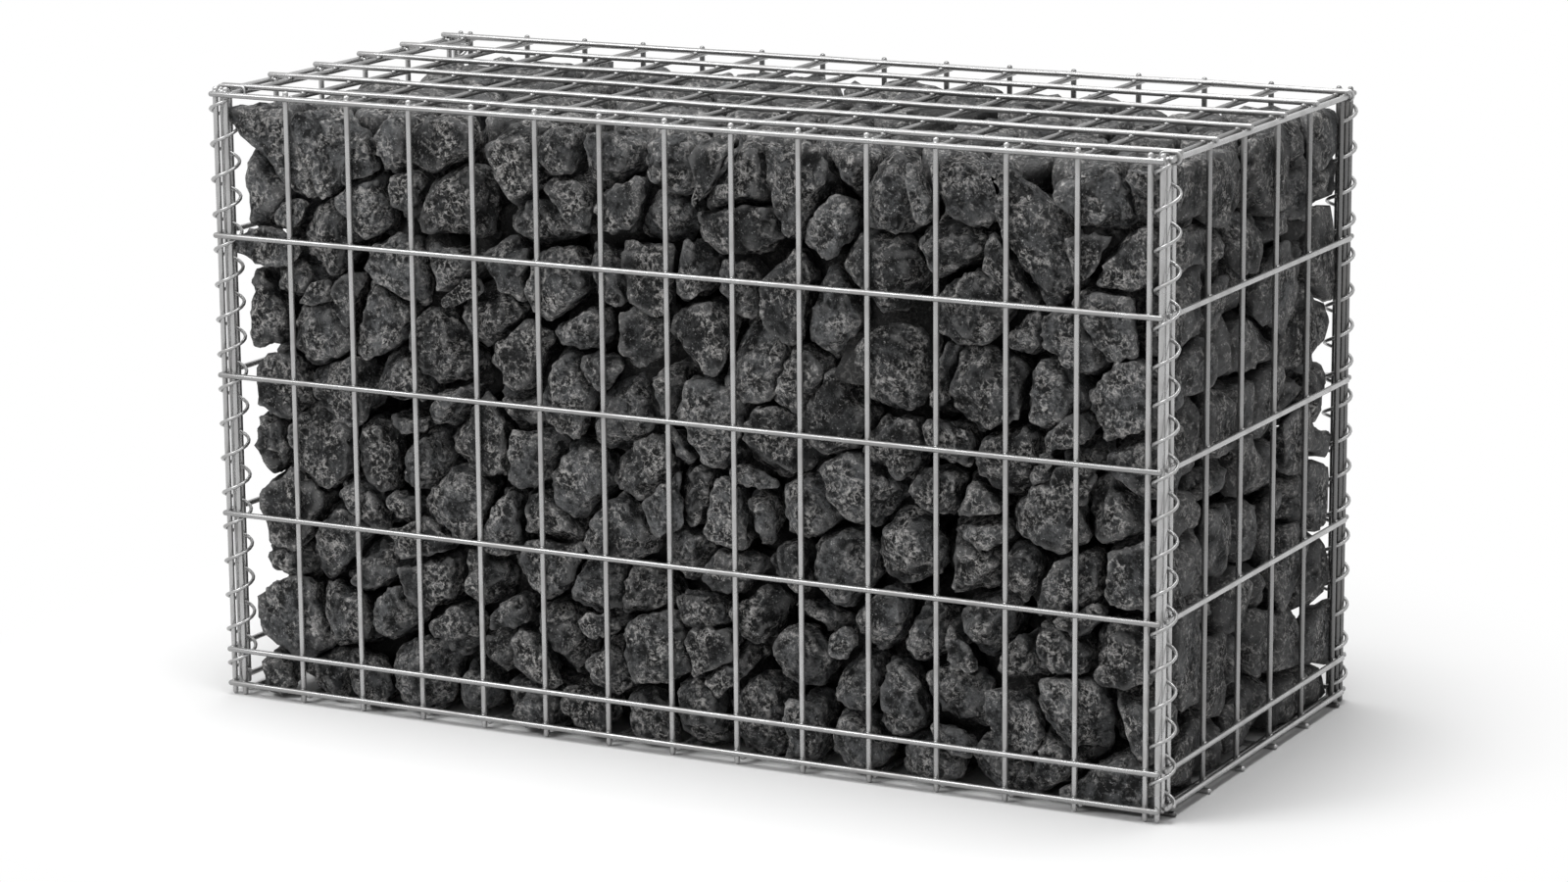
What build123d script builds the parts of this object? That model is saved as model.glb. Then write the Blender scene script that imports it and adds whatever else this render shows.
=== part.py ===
from build123d import *
import math
import os
import random

# A welded-mesh gabion: a wire basket of six mesh panels, laced up the corners with spirals and filled
# with broken stone. X runs along the wall, the front faces -Y, Z is up, and the origin is on the
# ground under the middle. Everything is in millimetres.

# Mesh wire
wire_d = 4.0  # wire of the six panels
wire_sides = 6  # flats round a mesh wire
ridge = 30  # turn of a wire that brings its edges round to face the sketch's own y
weld_sink = 0.5  # how far two crossing wires melt into each other
seat = 0.3  # gap left between a piece and what it rests on
slip = 0.25  # side gap of a lid wire between two upright wires

# Front and back panels
cell_x = 50.0  # spacing of the upright wires
x_cell_count = 14
row_h = 100.0  # spacing of the level wires
row_count = 4
low_row_count = 1  # closer rows at the foot, each one spiral turn high
tip_low = 8.5  # uprights stand this far below the lowest level wire
tip_high = 5.0  # and this far above the highest
overhang = 3.0  # level wires run this far past the last upright

# End panels
cell_y = 58.5  # spacing of the upright wires
y_cell_count = 5
corner_set = 20.5  # from the front panel's level wires to the end panel's first cell
double_gap = 9.0  # second upright outside each end of the end panel
end_start = 8.0  # the end panel's level wires start this far behind the front panel's

# Corner spirals. Angles are seen from above, from the middle of the spiral, with 0 along X.
spiral_wire_d = 2.5
spiral_sides = 4  # flats round the spiral's wire
turns_per_row = 4
right_out = 2.0  # middle of the right spiral beyond the outermost upright
right_drop = 4.0  # from a level wire down to the strand in front of it
right_bends = [-116, -58, 0, 58, 116, 180]
right_foot = 0  # the bend that it starts from
right_head = -58  # the bend that it ends at
left_drop = 7.0
left_bends = [-137, -90, -43, 17, 77, 137, 180]
left_foot = 77
left_head = -43
widest_bend = 64

# Lid rings, squeezed round an end panel's top wire and the lid wire beside it
ring_wire = 2.0
ring_cut = 3.0  # corners of a ring

# Stone fill
course_count = 7
long_stone_count = 12  # stones along the front of a course
deep_stone_count = 5  # stones along its end
lid_gap = 5.0  # from the top level wires down to the highest stone
end_clear = 10.0  # from the end panels' uprights to the fill
notch = 20.0  # depth of the gap between two stones
notch_half = 11.0  # half its width at the face
joint = 9.0  # height of the gap between two courses
joint_set = 16.0  # depth of that gap
stone_set = 6.0  # most that a stone stands back from the mesh
stone_drift = 0.14  # most that a gap strays, as a share of a stone's length
corner_cut = 16.0  # rounding of the stones at the corners
crown = 14.0  # height of the top stones' crowns on the last course
crown_count = 9  # crowns in the longer rows
crown_row_count = 4
crown_gap = 5.0  # between two crowns at their foot
crown_lean = 46  # degrees that a crown's sides lean in

# Wire places
wire_r = wire_d / 2
layer = wire_d - weld_sink  # between the centres of two crossing wires
edge_gap = 2 * (wire_d + slip)  # a lid wire passes between the last two uprights
lid_shift = edge_gap / 2
pitch = row_h / turns_per_row
lattice_x = [(i - x_cell_count / 2) * cell_x for i in range(x_cell_count + 1)]
edge_x = lattice_x[-1] + edge_gap
front_x = [-edge_x] + lattice_x + [edge_x]
lattice_y = [(i - y_cell_count / 2) * cell_y for i in range(y_cell_count + 1)]
end_y = [lattice_y[0] - double_gap] + lattice_y + [lattice_y[-1] + double_gap]
face_y = lattice_y[-1] + corner_set  # level wires of the front and back panels
upright_y = face_y - layer
face_x = edge_x + layer  # level wires of the end panels
levels = [tip_low + i * pitch for i in range(low_row_count)]
levels += [tip_low + low_row_count * pitch + i * row_h for i in range(row_count + 1)]
top_z = levels[-1]
lid_long_z = top_z + wire_d + seat  # the lid's long wires rest on the end panels
lid_cross_z = lid_long_z - layer
base_long_z = wire_r
base_cross_z = base_long_z + layer
cross_y = face_y - wire_r - seat  # lid and base cross wires stop behind the level wires

# Spiral places. Both spirals lace a face panel's outermost upright to the end panel's first one.
# The left one goes round the upright beside them too, and the right one passes outside it.
spiral_clear = (wire_r + seat + spiral_wire_d / 2) / math.cos(math.radians(widest_bend / 2))
spiral_y = (upright_y + end_y[-1]) / 2
half_gap = (upright_y - end_y[-1]) / 2
left_x = (lattice_x[-1] + edge_x) / 2
left_r = math.hypot(edge_x - left_x, half_gap) + spiral_clear
right_x = edge_x + right_out
right_r = math.hypot(right_out, half_gap) + spiral_clear
full_turns = row_count * turns_per_row + low_row_count

# Lid ring places: in the middle between the two wires, and between the end panel's two uprights
lid_x = [x + lid_shift for x in lattice_x]
ring_y = (end_y[-1] + lattice_y[-1]) / 2
ring_z = (lid_cross_z + top_z) / 2
ring_room = wire_d + 2 * seat  # inside a ring, beyond the wires' middles

# Fill places
fill_x = edge_x - wire_r - end_clear
fill_y = upright_y - wire_r - seat
fill_low = base_cross_z + wire_r + seat
fill_high = top_z - lid_gap - crown
course_h = (fill_high - fill_low) / course_count

os.makedirs("parts", exist_ok=True)


def write(piece, name):
    piece.part.label = name
    export_step(piece.part, f"parts/{name}.step")


def wires_up(places, low, high, turn):
    """Upright wires at the (x, y) places, from low to high. Crossing wires meet edge to edge."""
    with BuildSketch(Plane.XY.offset(low)) as ends:
        with Locations(*places):
            RegularPolygon(wire_r, wire_sides, rotation=turn)
    extrude(ends.sketch, amount=high - low)


def wires_along(places, half, turn):
    """Wires along X at the (y, z) places, half to each side of the middle."""
    with BuildSketch(Plane.YZ.offset(-half)) as ends:
        with Locations(*places):
            RegularPolygon(wire_r, wire_sides, rotation=turn)
    extrude(ends.sketch, amount=2 * half)


def wires_across(places, half, turn):
    """Wires along Y at the (x, z) places, half to each side of the middle."""
    with BuildSketch(Plane.XZ.offset(-half)) as ends:
        with Locations(*places):
            RegularPolygon(wire_r, wire_sides, rotation=turn)
    extrude(ends.sketch, amount=2 * half)


def face_panel(name, side):
    """Front (side -1) or back (side 1) panel: uprights behind the level wires that show."""
    with BuildPart() as panel:
        wires_up([(x, side * upright_y) for x in front_x], 0, top_z + tip_high, ridge)
        wires_along([(side * face_y, z) for z in levels], edge_x + overhang, 0)
    write(panel, name)


def end_panel(name, side):
    """Left (side -1) or right (side 1) panel, standing on the base and carrying the lid."""
    with BuildPart() as panel:
        wires_up([(side * edge_x, y) for y in end_y], wire_d + seat, top_z + wire_r - seat, 0)
        wires_across([(side * face_x, z) for z in levels], face_y - end_start, 0)
    write(panel, name)


def flat_panel(name, long_z, cross_z):
    """Lid or base: long wires that reach over the end panels, cross wires between front and back."""
    with BuildPart() as panel:
        wires_along([(y, long_z) for y in lattice_y], face_x + overhang, ridge)
        wires_across([(x, cross_z) for x in lid_x], cross_y, ridge)
    write(panel, name)


def spiral(middle_x, ring_r, drop, bends, foot, head):
    """Right-handed spiral at a front corner, straight from bend to bend.

    Where it passes in front of the level wires it is the given drop below them."""
    angles = [360 * turn + bend for turn in range(full_turns + 1) for bend in bends]
    route = []
    for angle in angles[angles.index(foot) : angles.index(360 * full_turns + head) + 1]:
        height = levels[0] - drop + (angle + 90) / 360 * pitch
        out = Vector(ring_r, 0, 0).rotate(Axis.Z, angle)
        route.append(Vector(middle_x, -spiral_y, height) + out)
    start = Plane(origin=route[0], x_dir=Vector(1, 0, 0).rotate(Axis.Z, foot), z_dir=route[1] - route[0])
    with BuildPart() as coil:
        with BuildLine():
            Polyline(*route)
        with BuildSketch(start):
            RegularPolygon(spiral_wire_d / 2, spiral_sides)
        sweep(transition=Transition.RIGHT)
    return coil


def lid_ring(lid_wire_x, end_wire_x, side, name):
    """Ring that ties a lid wire to an end panel's top wire, beside the front (-1) or back (1)."""
    width = abs(end_wire_x - lid_wire_x) + ring_room + 2 * ring_wire
    height = abs(lid_cross_z - top_z) + ring_room + 2 * ring_wire
    with BuildPart() as ring:
        with BuildSketch(Plane.XZ.offset(-side * ring_y)) as band:
            with Locations(((lid_wire_x + end_wire_x) / 2, ring_z)):
                Rectangle(width, height)
            chamfer(band.vertices(), ring_cut)
            offset(amount=-ring_wire, kind=Kind.INTERSECTION, mode=Mode.SUBTRACT)
        extrude(amount=ring_wire / 2, both=True)
    write(ring, name)


def turned(piece):
    """The same piece at the corner across the basket."""
    with BuildPart() as copy:
        add(piece.part, rotation=(0, 0, 180))
    return copy


def side_run(half_length, stones, shift, dice):
    """One side of a course seen from above, as (along, inset) points from end to end."""
    length = 2 * half_length / stones
    inset = 0.0  # the first stone touches the mesh
    points = [(corner_cut - half_length, inset)]
    for i in range(1, stones):
        gap = -half_length + (i + shift + dice.uniform(-stone_drift, stone_drift)) * length
        points.append((gap - notch_half, inset))
        inset = dice.uniform(0, stone_set)
        points.append((gap, inset + notch))
        points.append((gap + notch_half, inset))
    points.append((half_length - corner_cut, inset))
    return points


def course_plan(number):
    """Outline of a course: front, right, back and left sides in turn, gaps staggered by course."""
    dice = random.Random(number)
    shift = 0.25 if number % 2 else -0.25
    front = side_run(fill_x, long_stone_count, shift, dice)
    right = side_run(fill_y, deep_stone_count, -shift, dice)
    back = side_run(fill_x, long_stone_count, shift, dice)
    left = side_run(fill_y, deep_stone_count, -shift, dice)
    plan = [(along, inset - fill_y) for along, inset in front]
    plan += [(fill_x - inset, along) for along, inset in right]
    plan += [(-along, fill_y - inset) for along, inset in back]
    plan += [(inset - fill_x, -along) for along, inset in left]
    return plan


def crowns(foot):
    """Crowns of the top stones, in staggered rows."""
    dice = random.Random(0)
    length = 2 * (fill_x - joint_set) / crown_count
    depth = 2 * (fill_y - joint_set) / crown_row_count
    for row in range(crown_row_count):
        y = (row + 0.5) * depth - fill_y + joint_set
        stones = crown_count - row % 2
        for i in range(stones):
            x = (i + 0.5 - stones / 2) * length
            high = crown if (row, i) == (0, 0) else crown * dice.uniform(0.5, 1)
            with BuildSketch(Plane.XY.offset(foot)) as base:
                with Locations((x, y)):
                    Rectangle(length - crown_gap, depth - crown_gap)
            extrude(base.sketch, amount=high, taper=crown_lean)


face_panel("front_mesh", -1)
face_panel("back_mesh", 1)
end_panel("left_mesh", -1)
end_panel("right_mesh", 1)
flat_panel("lid_mesh", lid_long_z, lid_cross_z)
flat_panel("base_mesh", base_long_z, base_cross_z)

right_spiral = spiral(right_x, right_r, right_drop, right_bends, right_foot, right_head)
left_spiral = spiral(-left_x, left_r, left_drop, left_bends, left_foot, left_head)
write(right_spiral, "corner_spiral_front_right")
write(left_spiral, "corner_spiral_front_left")
write(turned(right_spiral), "corner_spiral_back_left")
write(turned(left_spiral), "corner_spiral_back_right")

for side, place in ((-1, "front"), (1, "back")):
    lid_ring(lid_x[-1], face_x, side, f"lid_ring_{place}_right")
    lid_ring(lid_x[0], -face_x, side, f"lid_ring_{place}_left")

for number in range(1, course_count + 1):
    low = fill_low + (number - 1) * course_h
    high = low + course_h - seat
    with BuildPart() as course:
        with BuildSketch(Plane.XY.offset(low)) as stones:
            with BuildLine():
                Polyline(*course_plan(number), close=True)
            make_face()
        if number < course_count:
            extrude(amount=high - joint - low)
            with BuildSketch(Plane.XY.offset(high - joint)) as gap:
                Rectangle(2 * (fill_x - joint_set), 2 * (fill_y - joint_set))
            extrude(amount=joint)
        else:
            extrude(amount=high - low)
            crowns(high)
    write(course, f"stone_course_{number}")
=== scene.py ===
import itertools
import math
import random
from collections import namedtuple
from contextlib import contextmanager

import bpy
from mathutils import Matrix, Vector


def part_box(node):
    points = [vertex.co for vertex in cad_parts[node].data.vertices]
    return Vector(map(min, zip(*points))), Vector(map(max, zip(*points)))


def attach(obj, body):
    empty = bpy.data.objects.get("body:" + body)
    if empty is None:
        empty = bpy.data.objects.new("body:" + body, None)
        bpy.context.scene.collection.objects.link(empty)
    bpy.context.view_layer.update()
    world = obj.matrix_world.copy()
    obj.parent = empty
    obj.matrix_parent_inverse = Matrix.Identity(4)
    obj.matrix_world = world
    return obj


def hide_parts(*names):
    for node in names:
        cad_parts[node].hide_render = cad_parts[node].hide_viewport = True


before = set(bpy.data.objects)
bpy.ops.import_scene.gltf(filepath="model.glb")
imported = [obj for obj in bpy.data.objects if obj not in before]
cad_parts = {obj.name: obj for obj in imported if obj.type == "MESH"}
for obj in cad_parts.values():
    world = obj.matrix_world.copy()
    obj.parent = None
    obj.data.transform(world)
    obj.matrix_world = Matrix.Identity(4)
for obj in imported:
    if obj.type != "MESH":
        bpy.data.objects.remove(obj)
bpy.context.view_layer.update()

# The finish of a welded-mesh gabion: round galvanised wires with their welds, sprung corner
# spirals, and a fill of broken basalt, stone by stone. Lengths are in metres. x runs to the
# right, y to the back and z up.

MM = 0.001
X, Y, Z = range(3)

# Welded mesh
WIRE = 4 * MM
WIRE_SIDES = 12
LAYER = 3.5 * MM  # between the middles of two wires that cross
TIP_ROUNDING = 1.7 * MM
TIP_STEPS = 3
BEND_STEP = 24 * MM  # a wire can bend at places this far apart
CELL_X = 50 * MM
CELLS_X = 14
CELL_Y = 58.5 * MM
CELLS_Y = 5
ROW = 100 * MM
ROWS = 4
LOW_ROW = 25 * MM
LOWEST_LEVEL = 8.5 * MM
FACE_GAP = 8.5 * MM  # from the last upright to the second one outside it, in front and behind
END_GAP = 9 * MM  # the same on the end panels
NUGGET_SCALE = (2.7 * MM, 2.7 * MM, 1.7 * MM)  # the last one through the panel
NUGGET_SIDES = 8
NUGGET_RINGS = 5
NUGGET_BRIGHTNESS = 0.3
BRIGHTNESS_SPREAD = 0.04
LID_SAG = 1.6 * MM
LID_DRIFT = 0.8 * MM
LID_WAVES = 75 * MM

# Corner spirals and lid rings
SPIRAL_WIRE = 2.5 * MM
SPIRAL_SIDES = 10
SPIRAL_STEPS = 18  # a turn
SPIRAL_RISE = 25 * MM  # a turn
SPIRAL_TIP = 0.6 * MM  # rounding of its cut ends
SPIRAL_TIP_STEPS = 2
SPIRAL_OUT = 4 * MM  # from the last upright of an end panel to the middle of the spiral, in y
SPIRAL_BRIGHTNESS = 0.36
RING_WIRE = 2 * MM
RING_STEPS = 20
RING_SIDES = 10
RING_TILT = 9  # degrees
RING_SPLIT = 0.2  # share of the ring's radius that stays at its middle when it is squeezed
RING_BRIGHTNESS = 0.42

# Stones
STONE_DICE = 7  # seed of everything random about them
COURSES = 7
STONES_X = 16
STONES_Y = 7
STONES_Z = 10
SWELL_LOW = Vector((-7, 3, 5)) * MM  # how far the pack goes past the fill: left, front, foot
SWELL_HIGH = Vector((10, -5, -3)) * MM  # the same: right, back, top
STAGGER = (0.25, 0.75)  # where a row's seeds stand in their room, by turns
JITTER = (0.34, 0.22, 0.34)  # how far a seed strays, as a share of its room
WEIGHT = (2, 26)  # mm. A heavier stone takes more room.
LEFT_OUT = 0.05  # share of the front's stones
DOUBLED = 0.28  # share of the front's stones that have a small one beside them
SMALL_WEIGHT = (0, 8)  # mm
SMALL_ASIDE = 24  # mm
SMALL_FORWARD = 0.3  # share of that
FRONT_CHIPS = 3  # of a front stone that isn't at an end. The others that can be seen have one.
STONE_REACH = 60 * MM
NEIGHBOUR_REACH = 1.4 * STONE_REACH
SIDE_REACH = 0.6 * STONE_REACH
STONE_GAP = 2.4 * MM
LOOSE = 8 * MM  # how much wider the widest gaps are
LEFT_LOOSE = 2 * MM  # the same at the left end, where light would show through
OPEN_CUTS = 14  # most neighbours that cut a stone that can be seen
INSIDE_CUTS = 9  # the same for the others
SIDE_CUT = (0.86, 1)  # where the fill's side cuts a stone, as a share of its room
FRONT_CHIP = (0.9, 1.15)  # where a chip is broken off there, as a share of the same room
OUTER_CHIP = (1, 1.3)
CHIP_LEAN = 0.6  # how far a chip's plane leans from the side, each way
CHIP_RADIUS = 23 * MM  # about where the chips all round are broken off
CHIP_SHARE = (0.85, 1.25)  # of that radius
SHORT_EDGE = 4 * MM  # edges below this are closed up
CREASE = (0.05, 0.55)  # how sharp a stone's edges stay
# Painted shade: a stone inside the fill gets this value, which paints it dark, as the fill's
# inside lies in shade
INSIDE_SHADE_TONE = -0.6
INWARD_LAYERS = ("outer", "inner", "core")  # by how many others lie outside a stone
SUBDIVISIONS = {"front": 3, "outer": 2, "inner": 1, "core": 0}
STONE_RELIEFS = (  # name, kind, size, depth and other settings
    ("stone_lumps", "CLOUDS", 24 * MM, 7 * MM, {}),
    ("stone_breaks", "MUSGRAVE", 13 * MM, 2.6 * MM, {"musgrave_type": "RIDGED_MULTIFRACTAL"}),
    ("stone_grit", "CLOUDS", 5 * MM, 2.2 * MM, {"noise_depth": 3}),
)


def clear():
    """Leaves nothing selected."""
    bpy.ops.object.select_all(action="DESELECT")


def take(piece, *others):
    """Selects these pieces alone, the first one active."""
    clear()
    for one in (piece, *others):
        one.select_set(True)
    bpy.context.view_layer.objects.active = piece


@contextmanager
def editing(piece, kind, test=lambda mesh, element: True):
    """Edit mode on the piece, with only the points, edges or faces selected that pass the test."""
    take(piece)
    mesh = piece.data
    elements = {"VERT": mesh.vertices, "EDGE": mesh.edges, "FACE": mesh.polygons}
    for every in elements.values():
        every.foreach_set("select", [False] * len(every))
    for element in elements[kind]:
        element.select = test(mesh, element)
    bpy.context.tool_settings.mesh_select_mode = [one == kind for one in elements]
    bpy.ops.object.mode_set(mode="EDIT")
    yield
    bpy.ops.object.mode_set(mode="OBJECT")


def joined(name, parts):
    """One piece of this name from the parts, with their places and turns applied."""
    take(*parts)
    if len(parts) > 1:
        bpy.ops.object.join()
    piece = bpy.context.object
    bpy.ops.object.transform_apply(location=True, rotation=True, scale=True)
    piece.name = piece.data.name = name
    return piece


def copied(pattern, place):
    """A copy with its own mesh, put where the matrix says."""
    twin = pattern.copy()
    twin.data = pattern.data.copy()
    bpy.context.collection.objects.link(twin)
    twin.matrix_world = place
    return twin


def applied(piece, kind, **settings):
    """Adds a modifier to the piece and applies it."""
    take(piece)
    modifier = piece.modifiers.new(kind.lower(), kind)
    for key, value in settings.items():
        setattr(modifier, key, value)
    bpy.ops.object.modifier_apply(modifier=modifier.name)


def smoothed(piece):
    take(piece)
    bpy.ops.object.shade_smooth()
    return piece


def told(piece, name, value):
    """Tells the finish a value: the named attribute is the same at all of the piece's points."""
    attribute = piece.data.attributes.new(name, "FLOAT", "POINT")
    attribute.data.foreach_set("value", [value] * len(piece.data.vertices))


def relief(name, kind, size, **settings):
    """A texture to displace with."""
    texture = bpy.data.textures.new(name, kind)
    texture.noise_scale = size
    for key, value in settings.items():
        setattr(texture, key, value)
    return texture


def toward(axis, length):
    """A vector along one axis."""
    return Vector([length if i == axis else 0 for i in range(3)])


# Finishes


class Value:
    """A shader value. Operators on it add Math nodes."""

    def __init__(self, finish, socket):
        self.finish = finish
        self.socket = socket

    def math(self, operation, first, second):
        return self.finish.node("ShaderNodeMath", {"operation": operation}, {0: first, 1: second})

    def __add__(self, other):
        return self.math("ADD", self, other)

    def __rsub__(self, other):
        return self.math("SUBTRACT", other, self)

    def __mul__(self, other):
        return self.math("MULTIPLY", self, other)

    __radd__ = __add__


class Finish:
    """The nodes of a material or of the world."""

    def __init__(self, owner, output="ShaderNodeOutputMaterial"):
        owner.use_nodes = True
        self.owner = owner
        self.tree = owner.node_tree
        self.tree.nodes.clear()
        self.end = self.tree.nodes.new(output)

    def node(self, kind, settings=None, sockets=None, out=0):
        """A node of the kind. Its settings are set first, then its sockets' values or links."""
        made = self.tree.nodes.new(kind)
        for key, value in (settings or {}).items():
            setattr(made, key, value)
        for key, value in (sockets or {}).items():
            if isinstance(value, Value):
                self.tree.links.new(value.socket, made.inputs[key])
            else:
                made.inputs[key].default_value = value
        return Value(self, made.outputs[out])

    def place(self):
        return self.node("ShaderNodeTexCoord", out="Object")

    def attribute(self, name):
        return self.node("ShaderNodeAttribute", {"attribute_name": name}, out="Fac")

    def noise(self, at, scale, detail, rough, distortion=0, out="Fac"):
        sockets = {"Vector": at, "Scale": scale, "Detail": detail, "Roughness": rough}
        sockets["Distortion"] = distortion
        return self.node("ShaderNodeTexNoise", sockets=sockets, out=out)

    def between(self, value, low, high):
        """0 below low, 1 above high, smooth between them."""
        settings = {"interpolation_type": "SMOOTHSTEP"}
        sockets = {"Value": value, "From Min": low, "From Max": high}
        return self.node("ShaderNodeMapRange", settings, sockets)

    def mix(self, share, first, second):
        """Mix of two colours. Sockets 6 and 7 and output 2 are the ones for colours."""
        sockets = {"Factor": share, 6: first, 7: second}
        return self.node("ShaderNodeMix", {"data_type": "RGBA"}, sockets, out=2)

    def marked(self, colour, *marks):
        """The colour with marks over it, each given as where it is, its strength and colour."""
        for where, strength, own in marks:
            colour = self.mix(where * strength, colour, own)
        return colour

    def bump(self, height, distance, strength):
        sockets = {"Height": height, "Distance": distance, "Strength": strength}
        return self.node("ShaderNodeBump", sockets=sockets)

    def principled(self, sockets):
        return self.surface(self.node("ShaderNodeBsdfPrincipled", sockets=sockets))

    def surface(self, shader):
        self.tree.links.new(shader.socket, self.end.inputs["Surface"])
        return self.owner


def grey(level, warmth=0.0):
    return (level * (1 + warmth), level, level * (1 - warmth), 1)


# Zinc. Here and below a noise is its scale, detail, roughness and distortion, a fade is from
# where to where on a noise a mark grows full, and a mark is its strength and colour.
ZINC_PATCHES = (55, 2, 0.5)
ZINC_GRAINS = (420, 2, 0.5)
DULL_FADE = (0.42, 0.7)
ZINC_GREYS = (grey(0.1), grey(0.95))  # of a wire whose brightness is 0 and 1; the brightness holds painted light and shade
SPANGLE_MARK = (0.15, grey(0.4))
DULL_MARK = (0.25, grey(0.2, 0.05))
ZINC_METAL = 0.75
ZINC_RELIEF = (0.02 * MM, 0.15)  # distance and strength


def galvanised(name):
    """Zinc-coated wire: soft spangle and dull patches. Each wire's brightness is its own and holds
    painted light and shade: wires in shade are painted darker, wires that catch the light paler.
    """
    zinc = Finish(bpy.data.materials.new(name))
    at = zinc.place()
    patches = zinc.noise(at, *ZINC_PATCHES)
    grains = zinc.noise(at, *ZINC_GRAINS)
    dull = zinc.between(patches, *DULL_FADE)
    # The wire's grey from its brightness, with painted light and shade in it
    zinc_grey_with_painted_light = zinc.mix(zinc.attribute("shine"), *ZINC_GREYS)
    return zinc.principled({
        "Base Color": zinc.marked(zinc_grey_with_painted_light, (grains, *SPANGLE_MARK), (dull, *DULL_MARK)),
        "Metallic": ZINC_METAL,
        "Roughness": 0.23 + dull * 0.12 + grains * 0.04,
        "Normal": zinc.bump(grains * 0.5 + patches * 2, *ZINC_RELIEF),
    })


# Basalt
BLOTCHES = (45, 4, 0.6)
PATCHES = (80, 5, 0.62, 0.3)
MOTTLE = (290, 6, 0.7, 0.6)
GRIT = (700, 4, 0.7)
WANDER = (110, 4, 0.5)
WANDER_REACH = 16 * MM
VEINS = ((95, 0.1), (190, 0.16))  # scale of a net of cracks, and the width of its lines
VEIN_SHARE = 0.6
VEIN_FADE = (0.42, 0.56)
FLECK_FADE = (0.55, 0.63)
FLECK_BLOTCH_FADE = (0.35, 0.55)
SPARK_FADE = (0.57, 0.66)
SPARK_MOTTLE_FADE = (0.48, 0.6)
PALE_FADE = (0.42, 0.6)
WORN_FADE = (0.505, 0.56)  # on the pointiness, as the next one
HOLLOW_SHADE_FADE = (0.43, 0.497)
DARK_GREYS = (grey(0.005, -0.03), grey(0.012, -0.03))  # of a stone with a tone of 0 and of 1
PALE_GREYS = (grey(0.042, -0.03), grey(0.13, -0.03))
WORN_MARK = (0.5, grey(0.2))
FLECK_MARK = (0.45, grey(0.36, 0.01))
VEIN_MARK = (0.7, grey(0.55, 0.03))
SPARK_MARK = (0.7, grey(0.7))
# Painted shade: each stone's hollows and creases are painted near black.
PAINTED_HOLLOW_SHADE_MARK = (0.75, grey(0.01))
INSIDE_SHADE_FADE = (-0.5, 0)  # on each stone's value, which is below 0 inside the fill, where it brings painted shade
INSIDE_SHADE_GREY = grey(0.006)
INSIDE_UNSHADED_SHARE = 0.25  # share of its own colour that a stone inside the fill keeps under the painted shade
STONE_GLOSS = 0.15
STONE_RELIEF = (3.2 * MM, 1)  # distance and strength


def basalt():
    """Dark broken basalt: a mottle of pale and dark grains, veins, pale worn edges, and painted
    shade in its hollows. Each stone's attribute is a random 0 to 1 on stones that can be seen, and
    less inside the fill, where it paints the stone dark as painted shade."""
    rock = Finish(bpy.data.materials.new("dark_basalt"))
    at = rock.place()
    blotches = rock.noise(at, *BLOTCHES)
    patches = rock.noise(at, *PATCHES)
    mottle = rock.noise(at, *MOTTLE)
    grit = rock.noise(at, *GRIT)
    wander = rock.node("ShaderNodeVectorMath", {"operation": "SCALE"}, {
        0: rock.noise(at, *WANDER, out="Color"), "Scale": WANDER_REACH})
    bent = rock.node("ShaderNodeVectorMath", {"operation": "ADD"}, {0: at, 1: wander})
    veins = 0
    for scale, width in VEINS:
        crack = rock.node("ShaderNodeTexVoronoi", {"feature": "DISTANCE_TO_EDGE"}, {
            "Vector": bent, "Scale": scale})
        veins = (1 - rock.between(crack, 0, width)) * VEIN_SHARE + veins
    veins = veins * rock.between(blotches, *VEIN_FADE) * rock.between(mottle, *VEIN_FADE)
    flecks = rock.between(mottle, *FLECK_FADE) * rock.between(blotches, *FLECK_BLOTCH_FADE)
    sparks = rock.between(grit, *SPARK_FADE) * rock.between(mottle, *SPARK_MOTTLE_FADE)
    corner = rock.node("ShaderNodeNewGeometry", out="Pointiness")
    worn = rock.between(corner, *WORN_FADE)
    # Painted shade in the hollows, where the pointiness is low
    painted_hollow_shade = 1 - rock.between(corner, *HOLLOW_SHADE_FADE)
    given = rock.attribute("tone_and_inside_shade")
    tone_and_inside_shade = rock.between(given, 0, 1)
    pale = rock.between(patches * 0.6 + mottle * 0.4, *PALE_FADE)
    body = rock.mix(pale, rock.mix(tone_and_inside_shade, *DARK_GREYS), rock.mix(tone_and_inside_shade, *PALE_GREYS))
    outside = rock.marked(
        body, (worn, *WORN_MARK), (flecks, *FLECK_MARK), (veins, *VEIN_MARK),
        (sparks, *SPARK_MARK), (painted_hollow_shade, *PAINTED_HOLLOW_SHADE_MARK))
    # Painted shade: a stone inside the fill keeps only a share of its colour and is painted dark
    seen = rock.between(given, *INSIDE_SHADE_FADE) * (1 - INSIDE_UNSHADED_SHARE) + INSIDE_UNSHADED_SHARE
    height = blotches * 1.2 + patches + mottle * 0.6 + grit * 0.35
    return rock.principled({
        "Base Color": rock.mix(seen, INSIDE_SHADE_GREY, outside),
        "Roughness": 0.55 + grit * 0.3,
        "Specular IOR Level": STONE_GLOSS,
        "Normal": rock.bump(height, *STONE_RELIEF),
    })


# Wires

TURNS = (  # from Z, along which every wire and nugget is made, to each axis
    Matrix.Rotation(math.radians(90), 4, "Y"),
    Matrix.Rotation(math.radians(90), 4, "X"),
    Matrix.Identity(4),
)
levels = [LOWEST_LEVEL] + [LOWEST_LEVEL + LOW_ROW + i * ROW for i in range(ROWS + 1)]
lattice_x = [(i - CELLS_X / 2) * CELL_X for i in range(CELLS_X + 1)]
lattice_y = [(i - CELLS_Y / 2) * CELL_Y for i in range(CELLS_Y + 1)]
edge_x = lattice_x[-1] + FACE_GAP
edge_y = lattice_y[-1] + END_GAP
face_uprights = (-edge_x, *lattice_x, edge_x)
end_uprights = (-edge_y, *lattice_y, edge_y)
cross_wires = [x + FACE_GAP / 2 for x in lattice_x]
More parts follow.
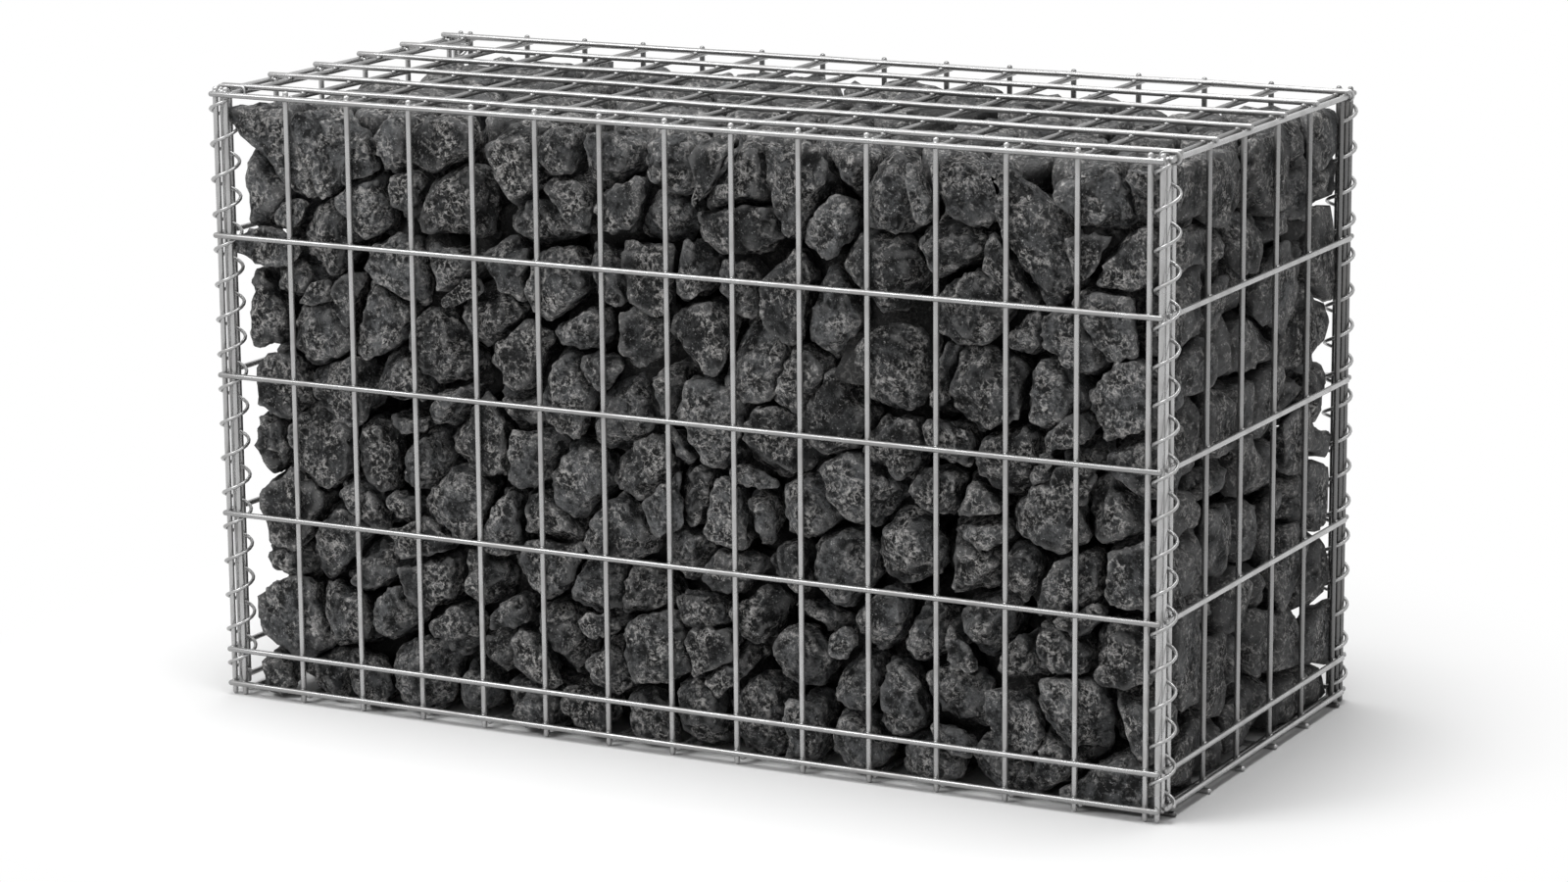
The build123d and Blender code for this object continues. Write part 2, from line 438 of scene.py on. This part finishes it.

# Wires side by side: the axis that they run along, their places on the axis across them, and their
# brightness, one for all or one for each. The brightness paints light and shade wire by wire:
# wires in shade, as at the back, at the right end towards the back and along the base's edges, are
# painted darker, and wires that catch the light paler.
Rank = namedtuple("Rank", "run places shine")
PANELS = (  # node, piece, the axis and side that the panel faces, its inner and its outer wires
    ("front_mesh", "front_wires", Y, -1, Rank(Z, face_uprights, 0.42), Rank(X, levels, 0.26)),
    ("back_mesh", "back_wires", Y, 1, Rank(Z, face_uprights, 0.1), Rank(X, levels, 0.3)),
    ("left_mesh", "left_wires", X, -1, Rank(Z, end_uprights, 0.4), Rank(Y, levels, 0.4)),
    # Painted shade: these uprights grow darker towards the back.
    ("right_mesh", "right_wires", X, 1,
     Rank(Z, end_uprights, (0.6, 0.5, 0.24, 0.26, 0.24, 0.2, 0.05, 0)), Rank(Y, levels, 0.44)),
    ("lid_mesh", "lid_wires", Z, 1, Rank(Y, cross_wires, 0.14), Rank(X, lattice_y, 0.33)),
    # Painted shade: the base's right edge wire and its front and back wires are darker.
    ("base_mesh", "base_wires", Z, -1, Rank(Y, cross_wires, (0.32,) * CELLS_X + (0.04,)),
     Rank(X, lattice_y, (0, 0.4, 0.4, 0.4, 0.4, 0))),
)

# A front corner's spiral: x of its middle, radius of its coil, the drop from a level wire to the
# strand in front of it, and the angles of its foot and head in degrees
Spiral = namedtuple("Spiral", "x radius drop foot head")
RIGHT_SPIRAL = Spiral(x=edge_x + 2 * MM, radius=7.9 * MM, drop=4 * MM, foot=0, head=6062)
LEFT_SPIRAL = Spiral(x=FACE_GAP / 2 - edge_x, radius=9.6 * MM, drop=7 * MM, foot=77, head=6077)
CORNERS = (  # name, its spiral, and whether that is turned about Z from the opposite corner
    ("front_right", RIGHT_SPIRAL, False),
    ("front_left", LEFT_SPIRAL, False),
    ("back_left", RIGHT_SPIRAL, True),
    ("back_right", LEFT_SPIRAL, True),
)


def straight_wire(length):
    """A round wire along Z, with rounded ends and places where it can bend."""
    clear()
    bpy.ops.mesh.primitive_cylinder_add(vertices=WIRE_SIDES, radius=WIRE / 2, depth=length)
    wire = bpy.context.object
    with editing(wire, "FACE", lambda mesh, face: abs(face.normal.z) > 0.9):
        bpy.ops.mesh.bevel(offset=TIP_ROUNDING, segments=TIP_STEPS, affect="EDGES")

    def runs_along(mesh, edge):
        ends = [mesh.vertices[i].co for i in edge.vertices]
        return abs(ends[0].z - ends[1].z) > length / 2

    with editing(wire, "EDGE", runs_along):
        bpy.ops.mesh.subdivide(number_cuts=round(length / BEND_STEP))
    return smoothed(wire)


def weld_nugget():
    clear()
    bpy.ops.mesh.primitive_uv_sphere_add(
        segments=NUGGET_SIDES, ring_count=NUGGET_RINGS, radius=1)
    nugget = bpy.context.object
    nugget.scale = NUGGET_SCALE
    bpy.ops.object.transform_apply(scale=True)
    told(nugget, "shine", NUGGET_BRIGHTNESS)
    return smoothed(nugget)


def panel(node, name, facing, side, inner, outer):
    """A welded panel: inner wires, outer wires across them, and a nugget at each crossing."""
    low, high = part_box(node)
    outside = low[facing] if side < 0 else high[facing]
    dice = random.Random(name)
    parts = []
    for rank, across, depth in (
            (inner, outer.run, WIRE / 2 + LAYER), (outer, inner.run, WIRE / 2)):
        pattern = straight_wire((high - low)[rank.run])
        for i, place in enumerate(rank.places):
            middle = (low + high) / 2
            middle[facing] = outside - side * depth
            middle[across] = place
            wire = copied(pattern, Matrix.Translation(middle) @ TURNS[rank.run])
            shine = rank.shine[i] if isinstance(rank.shine, tuple) else rank.shine
            told(wire, "shine", shine + dice.uniform(-BRIGHTNESS_SPREAD, BRIGHTNESS_SPREAD))
            parts.append(wire)
        bpy.data.objects.remove(pattern)
    pattern = weld_nugget()
    for inner_place in inner.places:
        for outer_place in outer.places:
            weld = toward(facing, outside - side * (WIRE + LAYER) / 2)
            weld[outer.run] = inner_place
            weld[inner.run] = outer_place
            parts.append(copied(pattern, Matrix.Translation(weld) @ TURNS[facing]))
    bpy.data.objects.remove(pattern)
    return joined(name, parts)


def bend_by_handling(piece):
    """Bends the lid's wires a little: down by up to the sag, sideways by up to the drift."""
    waves = relief("lid_waves", "CLOUDS", LID_WAVES)
    for direction, strength, middle in (("Z", -LID_SAG, 0), ("Y", 2 * LID_DRIFT, 0.5)):
        applied(piece, "DISPLACE", texture=waves, texture_coords="GLOBAL",
                direction=direction, strength=strength, mid_level=middle)


def corner_spiral(name, spiral, turned):
    """A sprung spiral, screwed up from its foot, with rounded ends."""
    turns = (spiral.head - spiral.foot) / 360
    slope = math.atan2(SPIRAL_RISE, math.tau * spiral.radius)
    clear()
    bpy.ops.mesh.primitive_circle_add(
        vertices=SPIRAL_SIDES, radius=SPIRAL_WIRE / 2,
        location=(spiral.radius, 0, 0), rotation=(slope - math.pi / 2, 0, 0))
    coil = bpy.context.object
    bpy.ops.object.transform_apply(location=True, rotation=True)
    steps = round(SPIRAL_STEPS * turns)
    applied(
        coil, "SCREW", axis="Z", angle=math.tau * turns, screw_offset=SPIRAL_RISE * turns,
        iterations=1, steps=steps, render_steps=steps, use_smooth_shade=True)
    with editing(coil, "EDGE"):
        bpy.ops.mesh.fill_holes(sides=0)
        bpy.ops.mesh.select_all(action="SELECT")
        bpy.ops.mesh.normals_make_consistent(inside=False)
    with editing(coil, "FACE", lambda mesh, face: len(face.vertices) > 4):
        bpy.ops.mesh.bevel(offset=SPIRAL_TIP, segments=SPIRAL_TIP_STEPS, affect="EDGES")
    # At -90 degrees the strand is in front, lower than the lowest level wire by the drop.
    foot = levels[0] - spiral.drop + (spiral.foot + 90) / 360 * SPIRAL_RISE
    middle = (spiral.x, -edge_y - SPIRAL_OUT, foot)
    start = Matrix.Rotation(math.radians(spiral.foot), 4, "Z")
    about = Matrix.Rotation(math.pi if turned else 0, 4, "Z")
    coil.matrix_world = about @ Matrix.Translation(middle) @ start
    told(coil, "shine", SPIRAL_BRIGHTNESS)
    return joined(name, [smoothed(coil)])


def lid_ring(node, name):
    """A wire ring squeezed round two wires: a torus whose halves are drawn apart."""
    low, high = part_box(node)
    size = high - low
    outside = size.z / 2
    middle = (low + high) / 2
    clear()
    bpy.ops.mesh.primitive_torus_add(
        major_segments=RING_STEPS, minor_segments=RING_SIDES,
        major_radius=outside - RING_WIRE / 2, minor_radius=RING_WIRE / 2,
        location=middle, rotation=(math.radians(90), math.radians(RING_TILT), 0))
    ring = bpy.context.object
    bpy.ops.object.transform_apply(location=True, rotation=True)
    for side in (-1, 1):
        def in_half(mesh, face):
            return side * (face.center.x - middle.x) > outside * RING_SPLIT

        with editing(ring, "FACE", in_half):
            bpy.ops.transform.translate(value=(side * (size.x / 2 - outside), 0, 0))
    told(ring, "shine", RING_BRIGHTNESS)
    return joined(name, [smoothed(ring)])


# Stones

# Where a stone sits in the pack: its place, how much room it takes, its course and layer, and
# how many chips it loses at each side of the fill that it's near, and as many again all round
Seed = namedtuple("Seed", "place weight course layer chips")


def stone_seeds(low, high, dice):
    """Seeds for the whole fill, jittered off a staggered grid. In front some are left out, for
    larger stones, and some have a small one beside them."""
    size = high - low
    seeds = []
    for level, row, i in itertools.product(range(STONES_Z), range(STONES_Y), range(STONES_X)):
        shift = STAGGER[(level + row) % 2]
        stray = [dice.uniform(-reach, reach) for reach in JITTER]
        share = (
            (i + shift + stray[X]) / STONES_X,
            (row + 0.5 + stray[Y]) / STONES_Y,
            (level + 0.5 + stray[Z]) / STONES_Z)
        place = Vector([low[axis] + share[axis] * size[axis] for axis in range(3)])
        course = min(int(share[Z] * COURSES), COURSES - 1) + 1
        inward = min(i, STONES_X - 1 - i, row, STONES_Y - 1 - row, STONES_Z - 1 - level)
        layer = "front" if row == 0 else INWARD_LAYERS[min(inward, 2)]
        chips = 1 if layer in ("front", "outer") else 0
        if layer == "front" and 0 < i < STONES_X - 1:
            chips = FRONT_CHIPS
            choice = dice.random()
            if choice < LEFT_OUT:
                continue
            if choice > 1 - DOUBLED:
                turn = dice.uniform(0, math.tau)
                aside = Vector((math.cos(turn), -SMALL_FORWARD, math.sin(turn)))
                beside = place + aside * SMALL_ASIDE * MM
                weight = dice.uniform(*SMALL_WEIGHT) * MM
                seeds.append(Seed(beside, weight, course, layer, 1))
        weight = dice.uniform(*WEIGHT) * MM
        seeds.append(Seed(place, weight, course, layer, chips))
    return seeds


def stone_cuts(seed, seeds, dice, low, high):
    """Planes that part this stone from its neighbours, nearest first, and from the basket, and
    that chip it. Each is a distance from the seed and the way that it faces."""
    loose = LEFT_LOOSE if seed.place.x < low.x + STONE_REACH else LOOSE
    cuts = []
    for other in seeds:
        away = other.place - seed.place
        distance = away.length
        if 0 < distance < NEIGHBOUR_REACH:
            share = (distance ** 2 + seed.weight ** 2 - other.weight ** 2) / (2 * distance)
            gap = STONE_GAP + (loose * dice.random() ** 2 if seed.chips else 0)
            cuts.append((share - gap / 2, away / distance))
    cuts.sort(key=lambda cut: cut[0])
    del cuts[OPEN_CUTS if seed.chips else INSIDE_CUTS:]
    for axis in range(3):
        for side, limit in ((-1, low[axis]), (1, high[axis])):
            room = side * (limit - seed.place[axis])
            if room > SIDE_REACH:
                continue
            outward = toward(axis, side)
            cuts.append((room * dice.uniform(*SIDE_CUT), outward))
            for _ in range(seed.chips):
                lean = Vector([dice.uniform(-CHIP_LEAN, CHIP_LEAN) for _ in range(3)])
                reach = dice.uniform(*(FRONT_CHIP if seed.chips > 1 else OUTER_CHIP))
                cuts.append((room * reach, (outward + lean).normalized()))
    for _ in range(seed.chips):
        chip = Vector([dice.gauss(0, 1) for _ in range(3)]).normalized()
        cuts.append((dice.uniform(*CHIP_SHARE) * CHIP_RADIUS, chip))
    return cuts


def stone(place, cuts, crease):
    """A block about the place, cut by the planes. It is put aside, out of the scene, which keeps
    the next ones quick."""
    clear()
    bpy.ops.mesh.primitive_cube_add(size=2 * STONE_REACH, location=place)
    rock = bpy.context.object
    with editing(rock, "FACE"):
        for distance, outward in cuts:
            bpy.ops.mesh.select_all(action="SELECT")
            bpy.ops.mesh.bisect(
                plane_co=place + outward * distance, plane_no=outward,
                clear_outer=True, use_fill=True)
        bpy.ops.mesh.select_all(action="SELECT")
        bpy.ops.mesh.remove_doubles(threshold=SHORT_EDGE)
        bpy.ops.transform.edge_crease(value=crease)
    bpy.context.collection.objects.unlink(rock)
    return rock


def all_stones():
    """The fill's stones, put aside in lists by course and then by layer."""
    dice = random.Random(STONE_DICE)
    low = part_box("stone_course_1")[0] - SWELL_LOW
    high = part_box(f"stone_course_{COURSES}")[1] + SWELL_HIGH
    seeds = stone_seeds(low, high, dice)
    rocks = {}
    for seed in seeds:
        cuts = stone_cuts(seed, seeds, dice, low, high)
        rock = stone(seed.place, cuts, dice.uniform(*CREASE))
        # A random value on a stone that can be seen; inside the fill, a value that brings painted
        # shade
        told(rock, "tone_and_inside_shade", dice.random() if seed.chips else INSIDE_SHADE_TONE)
        rocks.setdefault(seed.course, {}).setdefault(seed.layer, []).append(rock)
    return rocks


def press_flat(piece, low, high):
    """Flattens what stands out past these limits onto them."""
    for axis in range(3):
        for side, limit in ((-1, low[axis]), (1, high[axis])):
            def stands_out(mesh, point):
                return side * (point.co[axis] - limit) > 0

            with editing(piece, "VERT", stands_out):
                bpy.ops.transform.resize(
                    value=Vector((1, 1, 1)) - toward(axis, 1),
                    center_override=toward(axis, limit))


def stone_courses():
    """One piece for each course, with its stones rounded and roughened. They are pressed flat
    at the wires' inner sides, and reach down between the wires of the base."""
    rocks = all_stones()
    reliefs = [
        (relief(name, kind, size, **settings), depth)
        for name, kind, size, depth, settings in STONE_RELIEFS]
    wires = WIRE + LAYER
    low = Vector((
        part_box("left_mesh")[0].x + wires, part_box("front_mesh")[0].y + wires,
        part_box("base_mesh")[0].z + WIRE / 2))
    high = Vector((-low.x, -low.y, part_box("lid_mesh")[0].z))
    pieces = []
    for course in range(1, COURSES + 1):
        groups = []
        for layer, some in rocks[course].items():
            for rock in some:
                bpy.context.collection.objects.link(rock)
            group = joined(layer, some)
            groups.append(group)
            times = SUBDIVISIONS[layer]
            if times:
                applied(group, "SUBSURF", levels=times, render_levels=times)
                for texture, depth in reliefs:
                    applied(group, "DISPLACE", texture=texture, texture_coords="GLOBAL",
                            strength=depth, mid_level=0.5)
        piece = joined(f"stones_course_{course}", groups)
        press_flat(piece, low, high)
        pieces.append(smoothed(piece))
    return pieces


# Making

mesh_zinc = galvanised("galvanised_mesh_wire")
spiral_zinc = galvanised("galvanised_spiral_wire")
stone_face = basalt()

made = []  # piece, node, slot and finish
for node, name, *layout in PANELS:
    wires = panel(node, name, *layout)
    if node == "lid_mesh":
        bend_by_handling(wires)
    made.append((wires, node, "mesh_wire", mesh_zinc))
for corner, spiral, turned in CORNERS:
    coil = corner_spiral(f"spiral_wire_{corner}", spiral, turned)
    made.append((coil, f"corner_spiral_{corner}", "spiral_wire", spiral_zinc))
    ring = lid_ring(f"lid_ring_{corner}", f"ring_wire_{corner}")
    made.append((ring, f"lid_ring_{corner}", "spiral_wire", spiral_zinc))
for course, piece in enumerate(stone_courses(), 1):
    made.append((piece, f"stone_course_{course}", "stone", stone_face))

for piece, node, slot, finish in made:
    piece.data.materials.clear()
    piece.data.materials.append(finish)
    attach(piece, "root")
    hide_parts(node)

# Studio
FLOOR_SIZE = 60
FLOOR_FADE = (0.37, 0.62)  # how far from the middle the floor turns plain white
PAPER = grey(0.9)
WHITE = grey(1)
AMBIENT = 0.39
SIDE_FALL = 0.5  # share by which the ambient light is weaker at the right and stronger at the left
LAMP_AIM = Vector((0, 0, 0.2))
LAMPS = (  # name, place, size and watts
    ("key_softbox", (-1.4, -1.6, 2.2), 1.2, 33),
    ("top_softbox", (0.1, 0.0, 2.6), 1.6, 54),
)
CAMERA_TURN = math.radians(27.81)
CAMERA_RISE = math.radians(12.43)
CAMERA_ROLL = math.radians(-0.467)
CAMERA_DISTANCE = 3.333
CAMERA_AIM_UP = 0.1825
CAMERA_LENS = 107.36
CAMERA_SENSOR = 36
CAMERA_SIGHT = 200


def seen_rays(finish):
    """1 where the eye, a reflection or glass sees the surface, 0 where it only gives light."""
    eye, mirror, glass = [finish.node("ShaderNodeLightPath", out=kind) for kind in (
        "Is Camera Ray", "Is Glossy Ray", "Is Transmission Ray")]
    return finish.between(eye + mirror + glass, 0, 1)


def floor_finish():
    """White paper that takes the shadow, and that is seen as plain white further off."""
    paper = Finish(bpy.data.materials.new("white_paper"))
    off = paper.node("ShaderNodeVectorMath", {"operation": "LENGTH"}, {0: paper.place()}, out=1)
    matt = paper.node("ShaderNodeBsdfDiffuse", sockets={"Color": PAPER})
    plain = paper.node("ShaderNodeEmission", sockets={"Color": WHITE, "Strength": 1})
    share = paper.between(off, *FLOOR_FADE) * seen_rays(paper)
    return paper.surface(paper.node("ShaderNodeMixShader", sockets={0: share, 1: matt, 2: plain}))


def light_sky(world):
    """Soft light, stronger from the left. The eye sees plain white."""
    sky = Finish(world, "ShaderNodeOutputWorld")
    aim = sky.node("ShaderNodeTexCoord", out="Generated")
    to_right = sky.node("ShaderNodeSeparateXYZ", sockets={0: aim})
    fall = sky.mix(to_right * 0.5 + 0.5, grey(1 + SIDE_FALL), grey(1 - SIDE_FALL))
    soft = sky.node("ShaderNodeBackground", sockets={"Color": fall, "Strength": AMBIENT})
    plain = sky.node("ShaderNodeBackground", sockets={"Color": WHITE, "Strength": 1})
    sky.surface(sky.node("ShaderNodeMixShader", sockets={0: seen_rays(sky), 1: soft, 2: plain}))


def lamp(name, place, size, power):
    clear()
    bpy.ops.object.light_add(type="AREA", location=place)
    light = bpy.context.object
    light.name = name
    light.data.size = size
    light.data.energy = power
    light.rotation_euler = (Vector(place) - LAMP_AIM).to_track_quat("Z", "Y").to_euler()


clear()
bpy.ops.mesh.primitive_plane_add(size=FLOOR_SIZE)
floor = bpy.context.object
floor.name = "studio_floor"
floor.data.materials.append(floor_finish())

bpy.context.scene.world = bpy.data.worlds.new("studio")
light_sky(bpy.context.scene.world)
for settings in LAMPS:
    lamp(*settings)

back = Vector((
    math.sin(CAMERA_TURN) * math.cos(CAMERA_RISE),
    -math.cos(CAMERA_TURN) * math.cos(CAMERA_RISE),
    math.sin(CAMERA_RISE)))
right = Vector((math.cos(CAMERA_TURN), math.sin(CAMERA_TURN), 0))
up = back.cross(right)
facing = Matrix((right, up, back)).transposed() @ Matrix.Rotation(CAMERA_ROLL, 3, "Z")
aim = facing.col[1] * CAMERA_AIM_UP
clear()
bpy.ops.object.camera_add()
camera = bpy.context.object
camera.name = "camera"
camera.data.lens = CAMERA_LENS
camera.data.sensor_width = CAMERA_SENSOR
camera.data.clip_end = CAMERA_SIGHT
camera.matrix_world = Matrix.Translation(aim + back * CAMERA_DISTANCE) @ facing.to_4x4()
bpy.context.scene.camera = camera
bpy.context.scene.view_settings.view_transform = "Standard"
